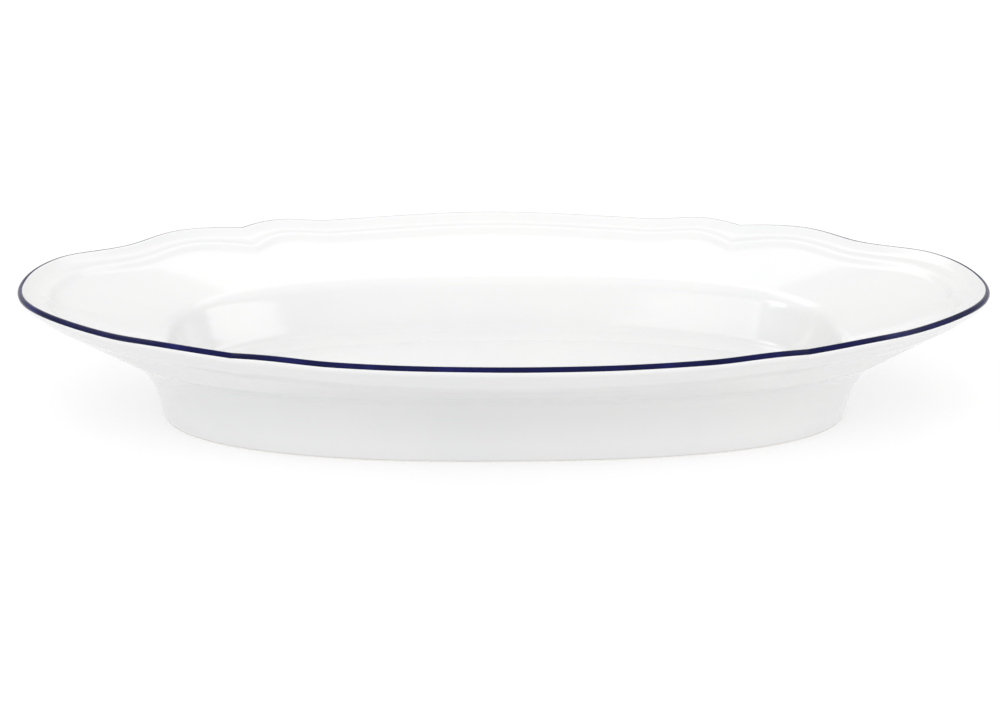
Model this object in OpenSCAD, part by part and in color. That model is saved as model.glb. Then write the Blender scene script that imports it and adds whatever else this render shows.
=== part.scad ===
// Oval china serving platter with a bracket-scalloped rim, a cobalt lip line and a bare foot ring.
// Origin: middle of the resting face. +X runs along the length, +Z points up. Millimetres.

/* [Outline] */
// Length over the lip at the two ends
platter_l = 360; // [320:1:400]
// Width over the lip at the two sides
platter_w = 250; // [236:1:270]
// Squareness of the lip outline, 2 is a true ellipse
lip_squareness = 1.92; // [1.86:0.02:2.1]
// Squareness of the foot and well outlines
foot_squareness = 2.42; // [2.2:0.02:2.6]

/* [Scalloped rim] */
// Angle of the side cusps, measured as the ellipse parameter
cusp_angle = 55.4; // [50:0.1:60]
// How far a side cusp cuts in behind the plain outline
cusp_in = 0.8; // [0.4:0.1:1.5]
// How far the small shoulder next to a side cusp stands out
shoulder_out = 1.9; // [0.5:0.1:2.5]
// How far the trough between the shoulder and a side lobe cuts in
side_trough_in = 0.7; // [0.2:0.1:1.5]
// How far the trough between the shoulder and an end lobe cuts in
end_trough_in = 1.6; // [0.2:0.1:2]
// How far the middle of each lobe stands out
lobe_out = 0.9; // [0.2:0.1:1.5]
// How far the outline dips in between the two lobes of an end
end_in = 0.7; // [0.2:0.1:1.5]
// Extra depth of the side cusps in the inner bead
side_bead_cut = 3.6; // [0:0.1:5]
// Depth of the small cusp that the inner bead has at each end
end_bead_cut = 1.6; // [0:0.1:3]
// Rise of the lip for each millimetre that the outline stands out
lip_pitch = 0.47; // [0.1:0.01:0.6]
// Lift of the lip at the ends over the mean, and its dip at the sides
end_lift = 0.3; // [0:0.1:1]

/* [Heights] */
// Mean height of the lip over the table
lip_z = 47.9; // [46:0.1:50]
// Height of the inner shoulder, where the flange turns down into the well
shoulder_z = 31.9; // [30.8:0.1:32.4]
// Height of the well floor
floor_z = 9.6; // [9:0.1:11]
// Height of the bare foot ring
foot_h = 0.7; // [0.6:0.1:1]
// Height of the recess inside the foot ring
recess_z = 4.4; // [4.2:0.1:4.8]

/* [Well and base] */
// Width of the rim from the lip to the inner shoulder at the two ends
end_flange_w = 52.5; // [48:0.1:54]
// Width of the rim from the lip to the inner shoulder at the two sides
side_flange_w = 43; // [41:0.1:45]
// Half length of the well at the foot of its wall
well_a = 119; // [116:0.1:121]
// Half width of the well at the foot of its wall
well_b = 71; // [69:0.1:72]
// Half length of the foot outline
foot_a = 126; // [123:0.1:127]
// Half width of the foot outline
foot_b = 74; // [70:0.1:76]
// Width of the bare foot ring inside the foot outline
foot_w = 4.5; // [3:0.1:6]

/* [Coats] */
// Thickness of the glaze and of the cobalt line
coat_t = 0.3; // [0.2:0.05:0.4]
// Radius of the rounded lip
lip_r = 1.15; // [1:0.05:1.3]

/* [Fineness] */
// Steps along each of the four end brackets
steps_end = 12; // [8:1:14]
// Steps along each of the two side brackets
steps_side = 16; // [10:1:20]

/* [Hidden] */

lip_a = platter_l / 2 + end_in;
lip_b = platter_w / 2 - lobe_out;
shoulder_a = lip_a - end_flange_w;
shoulder_b = lip_b - side_flange_w;
// Outset of the base wall from the foot outline, where it starts to curve outwards
wall_out = 3.3;
// Round the well floor: a ramp that steepens from ramp_start to ramp_end, then a tight corner to well_end
ramp_r = 45;
ramp_start = 13;
ramp_end = 22;
well_r = 3;
well_end = 62;
// Rounded shoulder between the well wall and the flange, and its slope where it leaves the wall
shoulder_r = 7;
shoulder_start = 70;
// Wide concave curve from the base wall, leaning by base_lean, up to the flange underside
base_r = 29.5;
base_lean = 15;
base_turn = 66;
base_top = 8.9;

// Bracket positions: 0 is a side cusp, 1 the middle of a side or the tip of an end
shoulder_at = 0.16;
trough_at = 0.365;
end_lobe_at = 0.62;
// Closeness of the samples next to each cusp
crowding = 0.6;
// Slope of the flange, where it leaves the shoulder and where the inner bead's cusps cut into it
flange_slope = 0.31;

// Rim section on the eating side as [inset from the lip, drop below it], from the flange outwards
moulding = [[13.9, 7.05], [12.5, 6.35], [11.4, 5.4], [10.2, 4.35], [8.8, 3.85], [7.2, 3.6], [5.6, 3.2],
            [4.3, 2.5]];
// Rim section on the underside, from the lip inwards
under_rim = [[0.6, 3.1], [3.3, 5.3], [7.3, 8.5], [13.8, 12.2]];
// Rounded heel of the base wall as [outset from the foot outline, height]
heel = [[2.2, 4.6], [1.5, 2.4], [0.9, foot_h]];
// Corner of the recess as [inset from the foot outline, height]
recess = [[foot_w + coat_t, foot_h], [foot_w + 1.1, 2.4], [foot_w + 2.9, 3.7], [foot_w + 6.5, recess_z]];
// Angles round the lip, from its eating side over the top to its underside
lip_turn_in = -50;
line_top = -12;
line_swing = 14;
line_bottom = 120;
line_shares = [0, 0.25, 0.5, 0.75, 1];

function mix(a, b, w) = a + (b - a) * w;
function ease(w) = (1 - cos(180 * w)) / 2;
function power(x, e) = sign(x) * pow(abs(x), e);

// Sample angles round the outline, with a sample on every cusp and closer ones beside it
function crowded(w) = w - crowding * sin(360 * w) / (2 * PI);
brackets = [[0, cusp_angle, steps_end], [cusp_angle, 180 - cusp_angle, steps_side],
            [180 - cusp_angle, 180, steps_end]];
angles = [for (half = [0, 180]) for (b = brackets) for (k = [0 : b[2] - 1])
          half + mix(b[0], b[1], crowded(k / b[2]))];
count = len(angles);

// Plain outline with half sizes a and b, and its outward direction
function oval(t, a, b, n) = [a * power(cos(t), 2 / n), b * power(sin(t), 2 / n)];
function outward(p, a, b) = let (g = [p.x / (a * a), p.y / (b * b)]) g / norm(g);

// Angle from the nearest end, and the position between a side cusp and the middle of a side or an end
function from_end(t) = let (q = t % 180) min(q, 180 - q);
function bracket_pos(q) = q < cusp_angle ? 1 - q / cusp_angle : (q - cusp_angle) / (90 - cusp_angle);
function between(v, start, end, low, high) = mix(low, high, ease((v - start) / (end - start)));

// How far the scalloped outline stands out from the plain one
function scallop(t) = let (q = from_end(t), v = bracket_pos(q), at_end = q < cusp_angle,
                           trough_in = at_end ? end_trough_in : side_trough_in)
    v < shoulder_at ? mix(-cusp_in, shoulder_out, sin(90 * v / shoulder_at)) :
    v < trough_at ? between(v, shoulder_at, trough_at, shoulder_out, -trough_in) :
    !at_end ? between(v, trough_at, 1, -trough_in, lobe_out) :
    v < end_lobe_at ? between(v, trough_at, end_lobe_at, -trough_in, lobe_out) :
    between(v, end_lobe_at, 1, lobe_out, -end_in);

// Extra cut of the inner bead, at the side cusps and at the ends
function cusp_shape(from_tip) = pow(max(1 - from_tip / shoulder_at, 0), 1.4);
function bead_cut(t) = let (q = from_end(t), v = bracket_pos(q))
    q < cusp_angle / 2 ? end_bead_cut * cusp_shape(1 - v) : side_bead_cut * cusp_shape(v);
// Share of the bead's extra cut that a ring has at a given inset from the lip
function bead_share(inset) = ease(min(max((inset - 2) / 8, 0), 1));

// One point and one ring of the rim, and one plain ring of the well or base
function rim_point(t, inset, drop, bead = 0) =
    let (p = oval(t, lip_a, lip_b, lip_squareness), n = outward(p, lip_a, lip_b), s = scallop(t),
         cut = bead * bead_share(inset) * bead_cut(t), q = p + (s - inset - cut) * n)
    [q.x, q.y, lip_z + lip_pitch * s + end_lift * cos(2 * t) - drop - flange_slope * cut];
function rim_ring(inset, drop, bead = 0) = [for (t = angles) rim_point(t, inset, drop, bead)];
function plain_ring(a, b, z) = [for (t = angles)
    let (p = oval(t, a, b, foot_squareness)) [p.x, p.y, z]];
function lip_point(t, turn) = rim_point(t, lip_r * (1 - sin(turn)), lip_r * (1 - cos(turn)));
function lip_ring(turn) = [for (t = angles) lip_point(t, turn)];
// A ring of the painted line, whose upper edge lies farther in at the ends than at the sides
function line_ring(share) = [for (t = angles)
    lip_point(t, mix(line_top - line_swing * cos(2 * t), line_bottom, share))];
function foot_outset(d, z) = plain_ring(foot_a + d, foot_b + d, z);
function well_ring(turn) = let (low = min(turn, ramp_end), high = max(turn, ramp_end),
    inset = ramp_r * (sin(ramp_end) - sin(low)) + well_r * (sin(well_end) - sin(high)),
    rise = ramp_r * (cos(ramp_start) - cos(low)) + well_r * (cos(ramp_end) - cos(high)))
    plain_ring(well_a - inset, well_b - inset, floor_z + rise);
function shoulder_ring(turn) = let (flange = atan(flange_slope),
    inset = shoulder_r * (sin(turn) - sin(flange)), drop = shoulder_r * (cos(flange) - cos(turn)))
    plain_ring(shoulder_a - inset, shoulder_b - inset, shoulder_z - drop);
function base_ring(turn) = foot_outset(wall_out + base_r * (cos(base_lean) - cos(turn)),
                                       base_top + base_r * (sin(turn) - sin(base_lean)));

// Rings of the glazed surface, from the floor of the well over the lip to the recess under the base
well_rings = [for (turn = [ramp_start, 18, ramp_end, 42, well_end]) well_ring(turn)];
shoulder_rings = [for (share = [0 : 0.25 : 1]) shoulder_ring(mix(shoulder_start, atan(flange_slope), share))];
moulding_rings = [for (m = moulding) rim_ring(m[0], m[1], 1)];
line_rings = [for (share = line_shares) line_ring(share)];
under_rings = [for (m = under_rim) rim_ring(m[0], m[1])];
base_rings = [for (share = [0 : 0.2 : 1]) base_ring(mix(base_turn, base_lean, share))];
middle_ring = (under_rings[len(under_rings) - 1] + base_rings[0]) / 2;
heel_rings = [for (h = heel) foot_outset(h[0], h[1])];
recess_rings = [for (r = recess) foot_outset(-r[0], r[1])];
skin = concat(well_rings, shoulder_rings, moulding_rings, [lip_ring(lip_turn_in)], line_rings,
              under_rings, [middle_ring], base_rings, heel_rings, recess_rings);

// Places in the skin where one coat ends and the next begins
line_start = len(well_rings) + len(shoulder_rings) + len(moulding_rings) + 1;
line_end = line_start + len(line_rings) - 1;
foot_start = line_end + len(under_rings) + 1 + len(base_rings) + len(heel_rings);
skin_end = len(skin) - 1;

// Direction of a coat's thickness: square to the skin, upright on the flats, level where it meets the foot
function level(v) = let (h = [v.x, v.y, 0]) h / norm(h);
function square_to(k, i) = let (
    along = skin[k][(i + 1) % count] - skin[k][(i + count - 1) % count],
    across = skin[k + 1][i] - skin[k - 1][i], n = cross(across, along)) n / norm(n);
function thick_way(k, i) =
    k == 0 ? [0, 0, 1] :
    k == skin_end ? [0, 0, -1] :
    k == foot_start || k == foot_start + 1 ? level(square_to(k, i)) :
    square_to(k, i);
clay = [for (k = [0 : skin_end]) [for (i = [0 : count - 1]) skin[k][i] - coat_t * thick_way(k, i)]];

// Faces between neighbouring rings, each quad split along its shorter diagonal
function split_quad(rings, j, l, i, m) = let (a = j * count + i, b = j * count + m, c = l * count + m,
    d = l * count + i)
    norm(rings[j][i] - rings[l][m]) < norm(rings[j][m] - rings[l][i])
        ? [[a, b, c], [a, c, d]] : [[a, b, d], [b, c, d]];
function band_faces(rings, last) = [for (j = [0 : last]) for (i = [0 : count - 1])
    each split_quad(rings, j, (j + 1) % len(rings), i, (i + 1) % count)];
function slice(rings, from, to) = [for (k = [from : (to < from ? -1 : 1) : to]) rings[k]];

// Solid between rings, closed by a flat face at each end
module capped(rings) {
    last = len(rings) - 1;
    caps = [[for (i = [count - 1 : -1 : 0]) i], [for (i = [0 : count - 1]) last * count + i]];
    polyhedron(points = [for (r = rings) each r], faces = concat(band_faces(rings, last - 1), caps));
}

// Solid between rings that run back to the first one
module looped(rings) {
    polyhedron(points = [for (r = rings) each r], faces = band_faces(rings, len(rings) - 1));
}

module coat(from, to) {
    looped(concat(slice(skin, from, to), slice(clay, to, from)));
}

module foot_outline(d) {
    polygon([for (p = foot_outset(d, 0)) [p.x, p.y]]);
}

// White fired casting: floor, well wall, flange, moulded rim and base
module porcelain_body() {
    color("whitesmoke") capped(clay);
}

// Bare ground ring that the platter stands on, with an eased lower edge
module foot_ring() {
    ease_h = 0.3;
    ease_d = heel[len(heel) - 1][0] - coat_t;
    color("wheat") difference() {
        union() {
            linear_extrude(ease_h) foot_outline(-0.2);
            translate([0, 0, ease_h]) linear_extrude(foot_h - ease_h) foot_outline(ease_d);
        }
        translate([0, 0, -1]) linear_extrude(foot_h + 2) foot_outline(-foot_w);
    }
}

// Gloss coat on the eating side
module upper_glaze() {
    color("white") capped(concat(slice(skin, 0, line_start), slice(clay, line_start, 0)));
}

// Cobalt band round the lip
module rim_line() {
    color("midnightblue") coat(line_start, line_end);
}

// Gloss coat on the underside and the base wall, down to the foot ring
module lower_glaze() {
    color("ghostwhite") coat(line_end, foot_start);
}

// Gloss coat on the recess inside the foot ring
module recess_glaze() {
    start = foot_start + 1;
    color("ivory") capped(concat(slice(clay, skin_end, start), slice(skin, start, skin_end)));
}

porcelain_body();
foot_ring();
upper_glaze();
rim_line();
lower_glaze();
recess_glaze();
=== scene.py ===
import math

import bpy
import numpy as np
from mathutils import Matrix, Vector


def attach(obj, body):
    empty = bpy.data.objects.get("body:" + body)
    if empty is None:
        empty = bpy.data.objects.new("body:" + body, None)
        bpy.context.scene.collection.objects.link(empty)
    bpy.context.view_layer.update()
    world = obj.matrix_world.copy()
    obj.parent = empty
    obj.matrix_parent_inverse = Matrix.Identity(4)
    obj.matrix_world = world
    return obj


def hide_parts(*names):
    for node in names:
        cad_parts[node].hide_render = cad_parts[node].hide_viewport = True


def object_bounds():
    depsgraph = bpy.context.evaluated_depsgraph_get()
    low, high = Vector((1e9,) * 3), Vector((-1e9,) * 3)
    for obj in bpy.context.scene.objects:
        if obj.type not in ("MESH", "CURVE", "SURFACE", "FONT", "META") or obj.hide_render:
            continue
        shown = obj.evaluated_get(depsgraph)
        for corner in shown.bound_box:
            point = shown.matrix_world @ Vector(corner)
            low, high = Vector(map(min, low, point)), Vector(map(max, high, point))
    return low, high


# An oval china serving platter. The section rings below follow part.scad in millimetres; they are swept
# round the outline at a fine step, so that the glaze mirrors its surroundings without facets.
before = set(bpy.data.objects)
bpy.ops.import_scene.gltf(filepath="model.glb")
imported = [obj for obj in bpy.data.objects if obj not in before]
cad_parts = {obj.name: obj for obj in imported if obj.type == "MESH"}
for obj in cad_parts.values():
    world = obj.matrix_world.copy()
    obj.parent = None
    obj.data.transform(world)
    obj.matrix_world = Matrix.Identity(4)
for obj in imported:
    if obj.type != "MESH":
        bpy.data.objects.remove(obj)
cad_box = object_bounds()
MM = 0.001

# Sizes, in millimetres and degrees
PLATTER_L, PLATTER_W = 360, 250
LIP_SQUARENESS, FOOT_SQUARENESS = 1.92, 2.42
CUSP_ANGLE = 55.4
CUSP_IN, SHOULDER_OUT, LOBE_OUT = 0.8, 1.9, 0.9
SIDE_TROUGH_IN, END_TROUGH_IN, END_IN = 0.7, 1.6, 0.7
SIDE_BEAD_CUT, END_BEAD_CUT, BEAD_CUT_SHARPNESS = 3.6, 1.6, 1.4
BEAD_CUT_START, BEAD_CUT_RUN = 2, 8
LIP_PITCH, END_LIFT = 0.47, 0.3
LIP_Z, SHOULDER_Z, FLOOR_Z, FOOT_H, RECESS_Z = 47.9, 31.9, 9.6, 0.7, 4.4
END_FLANGE_W, SIDE_FLANGE_W, FLANGE_SLOPE = 52.5, 43, 0.31
FOOT_A, FOOT_B, WELL_A, WELL_B = 126, 74, 119, 71
WALL_OUT, FOOT_W = 3.3, 4.5
COAT_T, LIP_R = 0.3, 1.15
RAMP_R, RAMP_START, RAMP_END, WELL_R, WELL_END = 45, 13, 22, 3, 62
WELL_TURNS = (RAMP_START, 16, 19, RAMP_END, 35, 48, WELL_END)
SHOULDER_R, SHOULDER_START = 7, 70
BASE_R, BASE_LEAN, BASE_TURN, BASE_TOP = 29.5, 15, 66, 8.9
SHOULDER_AT, TROUGH_AT, END_LOBE_AT, CROWDING = 0.16, 0.365, 0.62, 0.6
MOULDING = [(13.9, 7.05), (12.5, 6.35), (11.4, 5.4), (10.2, 4.35), (8.8, 3.85), (7.2, 3.6), (5.6, 3.2),
            (4.3, 2.5)]
UNDER_RIM = [(0.6, 3.1), (3.3, 5.3), (7.3, 8.5), (13.8, 12.2)]
HEEL = [(2.2, 4.6), (1.5, 2.4), (0.9, FOOT_H)]
RECESS = [(FOOT_W + COAT_T, FOOT_H), (FOOT_W + 1.1, 2.4), (FOOT_W + 2.9, 3.7), (FOOT_W + 6.5, RECESS_Z)]
LIP_TURN_IN, LINE_TOP, LINE_SWING, LINE_BOTTOM = -50, -12, 14, 120
LIP_A, LIP_B = PLATTER_L / 2 + END_IN, PLATTER_W / 2 - LOBE_OUT

# How far the painted line wavers, in degrees: swing, waves round the lip and phase
WAVERS = [(3, 5, 0.7), (2.5, 13, 2.1), (1.5, 29, 4.0)]

# Fineness of the visual meshes
STEPS_END, STEPS_SIDE = 60, 72
ARC_STEP, LINE_RINGS = 10, 9
STRAIGHT_SHARES = (0.25, 0.5, 0.75)
SPAN, MOST_STEPS = 1.6, 24


# ---------------------------------------------------------------- camera
def make_camera(distance, elevation, turn, roll, lens, aim):
    """A camera that looks at aim from that distance, elevation and turn towards -X, rolled on its axis."""
    back = Vector((-math.sin(turn) * math.cos(elevation), -math.cos(turn) * math.cos(elevation),
                   math.sin(elevation)))
    camera = bpy.data.objects.new("camera", bpy.data.cameras.new("camera"))
    camera.data.lens = lens
    camera.data.clip_end = 50
    facing = (-back).to_track_quat("-Z", "Y").to_matrix().to_4x4()
    camera.matrix_world = Matrix.Translation(aim + back * distance) @ facing @ Matrix.Rotation(roll, 4, "Z")
    bpy.context.collection.objects.link(camera)
    bpy.context.scene.camera = camera


make_camera(distance=1.303, elevation=0.256, turn=0.055, roll=0.007, lens=125.5,
            aim=Vector((-0.0018, 0, 0.0174)))


# ---------------------------------------------------------------- outline
def power(x, e):
    return np.sign(x) * np.abs(x) ** e


def ease(w):
    return (1 - np.cos(np.pi * w)) / 2


def sample_angles():
    """Angles round the outline, with a sample on every cusp and closer ones beside it."""
    brackets = [(0, CUSP_ANGLE, STEPS_END), (CUSP_ANGLE, 180 - CUSP_ANGLE, STEPS_SIDE),
                (180 - CUSP_ANGLE, 180, STEPS_END)]
    angles = []
    for half in (0, 180):
        for start, end, steps in brackets:
            w = np.arange(steps) / steps
            w = w - CROWDING * np.sin(2 * np.pi * w) / (2 * np.pi)
            angles.append(half + start + (end - start) * w)
    return np.concatenate(angles)


T = sample_angles()
COUNT = len(T)


def from_end(t):
    q = np.mod(t, 180)
    return np.minimum(q, 180 - q)


def bracket_pos(q):
    """0 at a side cusp, 1 in the middle of a side or at an end."""
    return np.where(q < CUSP_ANGLE, 1 - q / CUSP_ANGLE, (q - CUSP_ANGLE) / (90 - CUSP_ANGLE))


def between(v, start, end, low, high):
    """A smooth run from low at start to high at end."""
    return low + (high - low) * ease(np.clip((v - start) / (end - start), 0, 1))


def scallop(t):
    """How far the scalloped outline stands out from the plain one."""
    q = from_end(t)
    v = bracket_pos(q)
    cusp = -CUSP_IN + (SHOULDER_OUT + CUSP_IN) * np.sin(np.pi / 2 * v / SHOULDER_AT)
    trough_in = np.where(q < CUSP_ANGLE, END_TROUGH_IN, SIDE_TROUGH_IN)
    trough = between(v, SHOULDER_AT, TROUGH_AT, SHOULDER_OUT, -trough_in)
    side = between(v, TROUGH_AT, 1, -SIDE_TROUGH_IN, LOBE_OUT)
    end = between(v, TROUGH_AT, END_LOBE_AT, -END_TROUGH_IN, LOBE_OUT)
    end = np.where(v < END_LOBE_AT, end, between(v, END_LOBE_AT, 1, LOBE_OUT, -END_IN))
    lobe = np.where(q < CUSP_ANGLE, end, side)
    return np.where(v < SHOULDER_AT, cusp, np.where(v < TROUGH_AT, trough, lobe))


def bead_cut(t):
    """Extra cut of the inner bead at the side cusps and at the ends."""
    v = bracket_pos(from_end(t))
    from_tip = np.where(from_end(t) < CUSP_ANGLE / 2, 1 - v, v)
    depth = np.where(from_end(t) < CUSP_ANGLE / 2, END_BEAD_CUT, SIDE_BEAD_CUT)
    return depth * np.clip(1 - from_tip / SHOULDER_AT, 0, 1) ** BEAD_CUT_SHARPNESS


def oval(a, b, n):
    c, s = np.cos(np.radians(T)), np.sin(np.radians(T))
    return np.stack([a * power(c, 2 / n), b * power(s, 2 / n)], axis=1)


# ---------------------------------------------------------------- section rings
def rim_ring(inset, drop, bead=0.0):
    """A ring of the rim, that far in from the lip and below it. bead is its share of the bead's cusps."""
    p = oval(LIP_A, LIP_B, LIP_SQUARENESS)
    n = p / np.array([LIP_A ** 2, LIP_B ** 2])
    n /= np.linalg.norm(n, axis=1)[:, None]
    s = scallop(T)
    cut = bead * ease(np.clip((inset - BEAD_CUT_START) / BEAD_CUT_RUN, 0, 1)) * bead_cut(T)
    q = p + (s - inset - cut)[:, None] * n
    z = LIP_Z + LIP_PITCH * s + END_LIFT * np.cos(2 * np.radians(T)) - drop - FLANGE_SLOPE * cut
    return np.column_stack([q, z])


def plain_ring(a, b, z):
    return np.column_stack([oval(a, b, FOOT_SQUARENESS), np.full(COUNT, z)])


def foot_ring_at(outset, z):
    return plain_ring(FOOT_A + outset, FOOT_B + outset, z)


def well_ring(turn):
    """A ring of that slope on the ramp round the well floor, or on the tight corner at the wall's foot."""
    a, end = math.radians(turn), math.radians(RAMP_END)
    low, high = min(a, end), max(a, end)
    corner_inset = WELL_R * (math.sin(math.radians(WELL_END)) - math.sin(high))
    inset = RAMP_R * (math.sin(end) - math.sin(low)) + corner_inset
    ramp_rise = RAMP_R * (math.cos(math.radians(RAMP_START)) - math.cos(low))
    corner_rise = WELL_R * (math.cos(end) - math.cos(high))
    return plain_ring(WELL_A - inset, WELL_B - inset, FLOOR_Z + ramp_rise + corner_rise)


def shoulder_ring(turn):
    """A ring of that slope on the rounded shoulder between the well wall and the flange."""
    a, flange = math.radians(turn), math.atan(FLANGE_SLOPE)
    inset = SHOULDER_R * (math.sin(a) - math.sin(flange))
    drop = SHOULDER_R * (math.cos(flange) - math.cos(a))
    return plain_ring(LIP_A - END_FLANGE_W - inset, LIP_B - SIDE_FLANGE_W - inset, SHOULDER_Z - drop)


def base_ring(turn):
    """A ring on the wide concave curve that runs from the leaning base wall up to the flange underside."""
    a, lean = math.radians(turn), math.radians(BASE_LEAN)
    return foot_ring_at(WALL_OUT + BASE_R * (math.cos(lean) - math.cos(a)),
                        BASE_TOP + BASE_R * (math.sin(a) - math.sin(lean)))


def lip_ring(turn):
    """A ring on the rounded lip. turn is 0 on top and 90 at the outermost, and may vary round the lip."""
    a = np.radians(turn)
    return rim_ring(LIP_R * (1 - np.sin(a)), LIP_R * (1 - np.cos(a)))


def painted(edge, swing):
    """Turn of one edge of the hand-painted line, which swings from ends to sides and wavers a little."""
    t = np.radians(T)
    waver = sum(size * np.sin(waves * t + phase) for size, waves, phase in WAVERS)
    return edge - swing * np.cos(2 * t) + waver


def arc(start, end):
    return np.linspace(start, end, max(2, round(abs(end - start) / ARC_STEP) + 1))


def straight(start, end):
    """The rings between two others on the straight way from one to the other."""
    return [start * (1 - share) + end * share for share in STRAIGHT_SHARES]


def section():
    """The rings of the glazed skin from the well floor over the lip to the recess, and where coats meet."""
    rings = []
    rings += [well_ring(turn) for turn in WELL_TURNS]
    rings += straight(rings[-1], shoulder_ring(SHOULDER_START))
    rings += [shoulder_ring(turn) for turn in arc(SHOULDER_START, math.degrees(math.atan(FLANGE_SLOPE)))]
    rings += [rim_ring(inset, drop, 1) for inset, drop in MOULDING]
    rings.append(lip_ring(LIP_TURN_IN))
    line_start = len(rings)
    top, bottom = painted(LINE_TOP, LINE_SWING), painted(LINE_BOTTOM, 0)
    rings += [lip_ring(top + (bottom - top) * share) for share in np.linspace(0, 1, LINE_RINGS)]
    line_end = len(rings) - 1
    rings += [rim_ring(inset, drop) for inset, drop in UNDER_RIM]
    rings += straight(rings[-1], base_ring(BASE_TURN))
    rings += [base_ring(turn) for turn in arc(BASE_TURN, BASE_LEAN)]
    rings += [foot_ring_at(outset, z) for outset, z in HEEL]
    foot_start = len(rings) - 1
    rings += [foot_ring_at(-inset, z) for inset, z in RECESS]
    return np.array(rings), line_start, line_end, foot_start


def smoothed(rings, marks):
    """More rings on smooth curves through the given ones, and the marks' new places. Foot corners stay."""
    gaps = np.linalg.norm(np.diff(rings, axis=0), axis=2).mean(axis=1)
    knots = np.concatenate([[0], np.cumsum(np.sqrt(gaps))])
    out, place = [], {}
    for k in range(len(rings) - 1):
        place[k] = len(out)
        steps = int(np.clip(math.ceil(gaps[k] / SPAN), 1, MOST_STEPS)) + 1
        if k == marks[-1]:
            steps = 1
        first, last = k == 0 or k == marks[-1] + 1, k == len(rings) - 2 or k == marks[-1] - 1
        p1, p2 = rings[k], rings[k + 1]
        p0, p3 = (p1 if first else rings[k - 1]), (p2 if last else rings[k + 2])
        t0, t1, t2, t3 = (knots[max(k - 1, 0)], knots[k], knots[k + 1], knots[min(k + 2, len(rings) - 1)])
        h = t2 - t1
        m1 = (p2 - p1) / h if first else ((p2 - p1) / h * (t1 - t0) + (p1 - p0) / (t1 - t0) * h) / (t2 - t0)
        m2 = (p2 - p1) / h if last else ((p2 - p1) / h * (t3 - t2) + (p3 - p2) / (t3 - t2) * h) / (t3 - t1)
        for j in range(steps):
            w = j / steps
            out.append((2 * w ** 3 - 3 * w ** 2 + 1) * p1 + (w ** 3 - 2 * w ** 2 + w) * h * m1
                       + (3 * w ** 2 - 2 * w ** 3) * p2 + (w ** 3 - w ** 2) * h * m2)
    place[len(rings) - 1] = len(out)
    out.append(rings[-1])
    return np.array(out), [place[m] for m in marks]


def outward(skin, foot_start):
    """Unit normals of the skin's rings: upright on the flats, level where a coat meets the foot."""
    along = np.roll(skin, -1, axis=1) - np.roll(skin, 1, axis=1)
    across = np.gradient(skin, axis=0)
    n = np.cross(across, along)
    n[0], n[-1] = (0, 0, 1), (0, 0, -1)
    n[foot_start:foot_start + 2, :, 2] = 0
    return n / np.linalg.norm(n, axis=2)[:, :, None]


knots, *marks = section()
skin, (line_start, line_end, foot_start) = smoothed(knots, marks)
clay = skin - COAT_T * outward(skin, foot_start)


# ---------------------------------------------------------------- meshes
def fit(points):
    """Rings from millimetres to metres, drawn in by the hair that keeps them inside the CAD model's box."""
    size = np.array(cad_box[1]) - np.array(cad_box[0])
    grown = np.ptp(skin[:, :, 0]) * MM, np.ptp(skin[:, :, 1]) * MM, skin[:, :, 2].max() * MM
    return points * MM * np.minimum(size / np.array(grown), 1)


def lofted(name, rings, looped=False):
    """A closed solid between rings: looped back to the first, or with a flat face at each end."""
    mesh = bpy.data.meshes.new(name)
    count = len(rings)
    i = np.arange(COUNT)
    m = np.roll(i, -1)
    faces = []
    for j in range(count if looped else count - 1):
        l = (j + 1) % count
        quads = np.stack([j * COUNT + i, l * COUNT + i, l * COUNT + m, j * COUNT + m], axis=1)
        faces += quads.tolist()
    if not looped:
        faces += [i.tolist(), ((count - 1) * COUNT + i[::-1]).tolist()]
    mesh.from_pydata(fit(np.concatenate(rings)).tolist(), [], faces)
    mesh.polygons.foreach_set("use_smooth", [len(f) == 4 for f in faces])
    mesh.validate()
    piece = bpy.data.objects.new(name, mesh)
    bpy.context.collection.objects.link(piece)
    return piece


def add(piece, node, material):
    piece.data.materials.append(material)
    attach(piece, "root")
    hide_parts(node)


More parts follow.
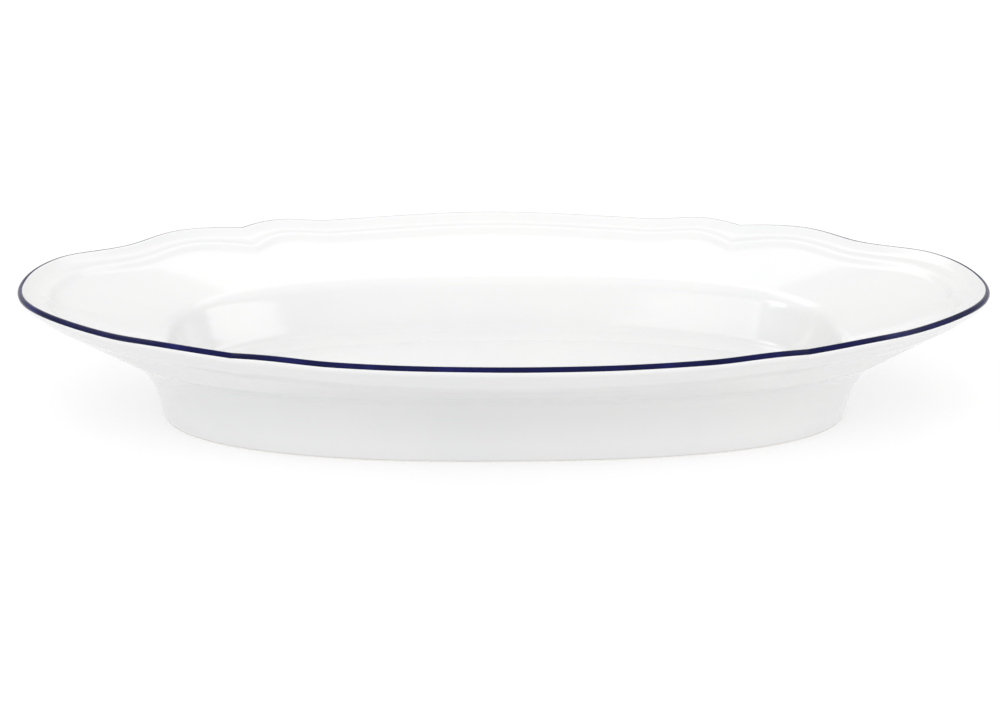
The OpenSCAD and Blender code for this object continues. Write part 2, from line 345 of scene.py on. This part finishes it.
# ---------------------------------------------------------------- materials
class Shader:
    """A short way to build one procedural material."""

    def __init__(self, name):
        self.material = bpy.data.materials.new(name)
        self.material.use_nodes = True
        self.tree = self.material.node_tree
        self.surface = self.tree.nodes["Principled BSDF"]
        self.place = self.add("ShaderNodeTexCoord").outputs["Object"]

    def add(self, kind):
        return self.tree.nodes.new(kind)

    def link(self, source, target):
        self.tree.links.new(source, target)

    def noise(self, scale, detail=2.0, roughness=0.5):
        """A noise pattern in the object's own space, scale in cells per metre."""
        node = self.add("ShaderNodeTexNoise")
        node.inputs["Scale"].default_value = scale
        node.inputs["Detail"].default_value = detail
        node.inputs["Roughness"].default_value = roughness
        self.link(self.place, node.inputs["Vector"])
        return node.outputs["Fac"]

    def ramp(self, source, *stops):
        """Colours or greys along source; each stop is (position, colour or grey)."""
        node = self.add("ShaderNodeValToRGB")
        elements = node.color_ramp.elements
        while len(elements) < len(stops):
            elements.new(0.5)
        for element, (position, colour) in zip(elements, stops):
            element.position = position
            element.color = (*colour, 1) if isinstance(colour, tuple) else (colour, colour, colour, 1)
        self.link(source, node.inputs["Fac"])
        return node.outputs["Color"]

    def level(self, source, low, high):
        """source, from 0 to 1, as a number from low to high."""
        node = self.add("ShaderNodeMapRange")
        node.inputs["To Min"].default_value = low
        node.inputs["To Max"].default_value = high
        self.link(source, node.inputs["Value"])
        return node.outputs["Result"]

    def bump(self, source, depth, under=None):
        """A bump of that depth in metres, on top of the bump under it."""
        node = self.add("ShaderNodeBump")
        node.inputs["Distance"].default_value = depth
        self.link(source, node.inputs["Height"])
        if under:
            self.link(under, node.inputs["Normal"])
        return node.outputs["Normal"]

    def set(self, **values):
        for name, value in values.items():
            self.surface.inputs[name.replace("_", " ")].default_value = value


def glaze():
    """Clear gloss glaze over white china: faint warm and cool clouds, and the slow ripple of fired glaze."""
    s = Shader("glaze")
    tone = s.ramp(s.noise(14, detail=3), (0.35, (0.69, 0.693, 0.697)), (0.65, (0.712, 0.712, 0.709)))
    s.link(tone, s.surface.inputs["Base Color"])
    s.link(s.level(s.noise(60, detail=4), 0.10, 0.16), s.surface.inputs["Roughness"])
    s.link(s.bump(s.noise(32, detail=1), 0.00004), s.surface.inputs["Normal"])
    s.set(IOR=1.5, Coat_Weight=0.35, Coat_Roughness=0.045, Coat_IOR=1.5)
    return s.material


def cobalt():
    """Hand-painted cobalt under the glaze: the brush left it denser and thinner along the lip."""
    s = Shader("cobalt")
    strokes = s.noise(70, detail=4, roughness=0.65)
    tone = s.ramp(strokes, (0.3, (0.003, 0.004, 0.03)), (0.55, (0.005, 0.006, 0.05)),
                  (0.8, (0.012, 0.015, 0.11)))
    s.link(tone, s.surface.inputs["Base Color"])
    s.link(s.level(s.noise(200), 0.12, 0.22), s.surface.inputs["Roughness"])
    s.link(s.bump(s.noise(120, detail=3), 0.00003), s.surface.inputs["Normal"])
    s.set(IOR=1.45, Specular_IOR_Level=0.08, Coat_Weight=0.03, Coat_Roughness=0.04)
    return s.material


def bare_clay(name, light, dark):
    """Unglazed fired clay with a fine grain."""
    s = Shader(name)
    tone = s.ramp(s.noise(500, detail=6, roughness=0.7), (0.3, dark), (0.7, light))
    s.link(tone, s.surface.inputs["Base Color"])
    s.link(s.level(s.noise(800, detail=4), 0.62, 0.85), s.surface.inputs["Roughness"])
    grain = s.bump(s.noise(2600, detail=4, roughness=0.7), 0.00005)
    s.link(s.bump(s.noise(300, detail=2), 0.00008, under=grain), s.surface.inputs["Normal"])
    s.set(Specular_IOR_Level=0.3)
    return s.material


glaze_material = glaze()
add(lofted("body", list(clay)), "porcelain_body",
    bare_clay("porcelain", (0.85, 0.84, 0.81), (0.78, 0.77, 0.74)))
add(lofted("glaze_upper", [*skin[:line_start + 1], *clay[line_start::-1]]), "upper_glaze",
    glaze_material)
add(lofted("blue_line", [*skin[line_start:line_end + 1], *clay[line_end:line_start - 1:-1]], looped=True),
    "rim_line", cobalt())
add(lofted("glaze_lower", [*skin[line_end:foot_start + 1], *clay[foot_start:line_end - 1:-1]], looped=True),
    "lower_glaze", glaze_material)
add(lofted("glaze_recess", [*clay[:foot_start:-1], *skin[foot_start + 1:]]), "recess_glaze",
    glaze_material)


def foot():
    """The bare standing ring, with edges eased by grinding."""
    outside = [(-0.2, 0), (0.15, 0.04), (0.4, 0.14), (0.54, 0.27), (0.6, 0.42), (0.6, FOOT_H)]
    inside = [(-FOOT_W, FOOT_H), (-FOOT_W, 0.45), (-FOOT_W + 0.12, 0.2), (-FOOT_W + 0.4, 0)]
    rings = [foot_ring_at(d, z) for d, z in outside + inside]
    return lofted("foot", rings[::-1], looped=True)


add(foot(), "foot_ring", bare_clay("bare_clay", (0.90, 0.885, 0.85), (0.83, 0.81, 0.77)))


# ---------------------------------------------------------------- floor and light
FLOOR_HALF = 6
AIM = Vector((0, 0, 0.02))
WORLD_COLOUR = (1, 0.998, 0.995, 1)


def make_floor():
    """A glowing pale light table, as in a product studio, on which shadows stay faint."""
    mesh = bpy.data.meshes.new("floor")
    corners = [(x * FLOOR_HALF, y * FLOOR_HALF, 0) for x, y in ((-1, -1), (1, -1), (1, 1), (-1, 1))]
    mesh.from_pydata(corners, [], [(0, 1, 2, 3)])
    floor = bpy.data.objects.new("floor", mesh)
    bpy.context.collection.objects.link(floor)
    s = Shader("floor")
    s.link(s.ramp(s.noise(3), (0.3, 0.39), (0.7, 0.41)), s.surface.inputs["Base Color"])
    s.set(Roughness=0.8, Specular_IOR_Level=0.1, Emission_Color=(1, 1, 1, 1), Emission_Strength=0.56)
    mesh.materials.append(s.material)


def softbox(name, azimuth, elevation, distance, width, height, power, mirrored=True):
    """An area light that faces the platter. Azimuth 0 is on the camera's side and 90 on +X."""
    a, e = math.radians(azimuth), math.radians(elevation)
    out = Vector((math.sin(a) * math.cos(e), -math.cos(a) * math.cos(e), math.sin(e)))
    light = bpy.data.lights.new(name, "AREA")
    light.shape = "RECTANGLE"
    light.size, light.size_y, light.energy = width, height, power
    holder = bpy.data.objects.new(name, light)
    holder.matrix_world = (Matrix.Translation(AIM + out * distance)
                           @ (-out).to_track_quat("-Z", "Y").to_matrix().to_4x4())
    holder.visible_glossy = mirrored
    bpy.context.collection.objects.link(holder)


def make_world(front, back):
    """Even studio surroundings, brighter on the camera's side than behind the platter."""
    world = bpy.data.worlds.new("studio")
    world.use_nodes = True
    nodes, links = world.node_tree.nodes, world.node_tree.links
    split = nodes.new("ShaderNodeSeparateXYZ")
    links.new(nodes.new("ShaderNodeTexCoord").outputs["Generated"], split.inputs["Vector"])
    level = nodes.new("ShaderNodeMapRange")
    level.interpolation_type = "SMOOTHSTEP"
    level.inputs["From Min"].default_value = -1
    level.inputs["To Min"].default_value = front
    level.inputs["To Max"].default_value = back
    links.new(split.outputs["Y"], level.inputs["Value"])
    background = nodes["Background"]
    background.inputs["Color"].default_value = WORLD_COLOUR
    links.new(level.outputs["Result"], background.inputs["Strength"])
    bpy.context.scene.world = world


make_floor()
make_world(front=1.11, back=0.87)
softbox("light_front", 0, 38, 2.2, 2.4, 1.0, 15, mirrored=False)
softbox("light_back", 178, 51, 1.6, 2.2, 0.52, 1.9)
softbox("light_front_left", -45, 26, 1.8, 2.0, 0.35, 2.2)
softbox("light_back_left", -150, 45, 1.5, 0.9, 0.6, 0.9)
softbox("light_left", -95, 30, 1.4, 1.2, 0.5, 0.7)
softbox("window_left", -92, 28, 1.4, 0.36, 0.36, 1.0)
softbox("window_right", 80, 20, 1.4, 1.4, 0.34, 2.3)

view_settings = bpy.context.scene.view_settings
view_settings.view_transform = "Standard"
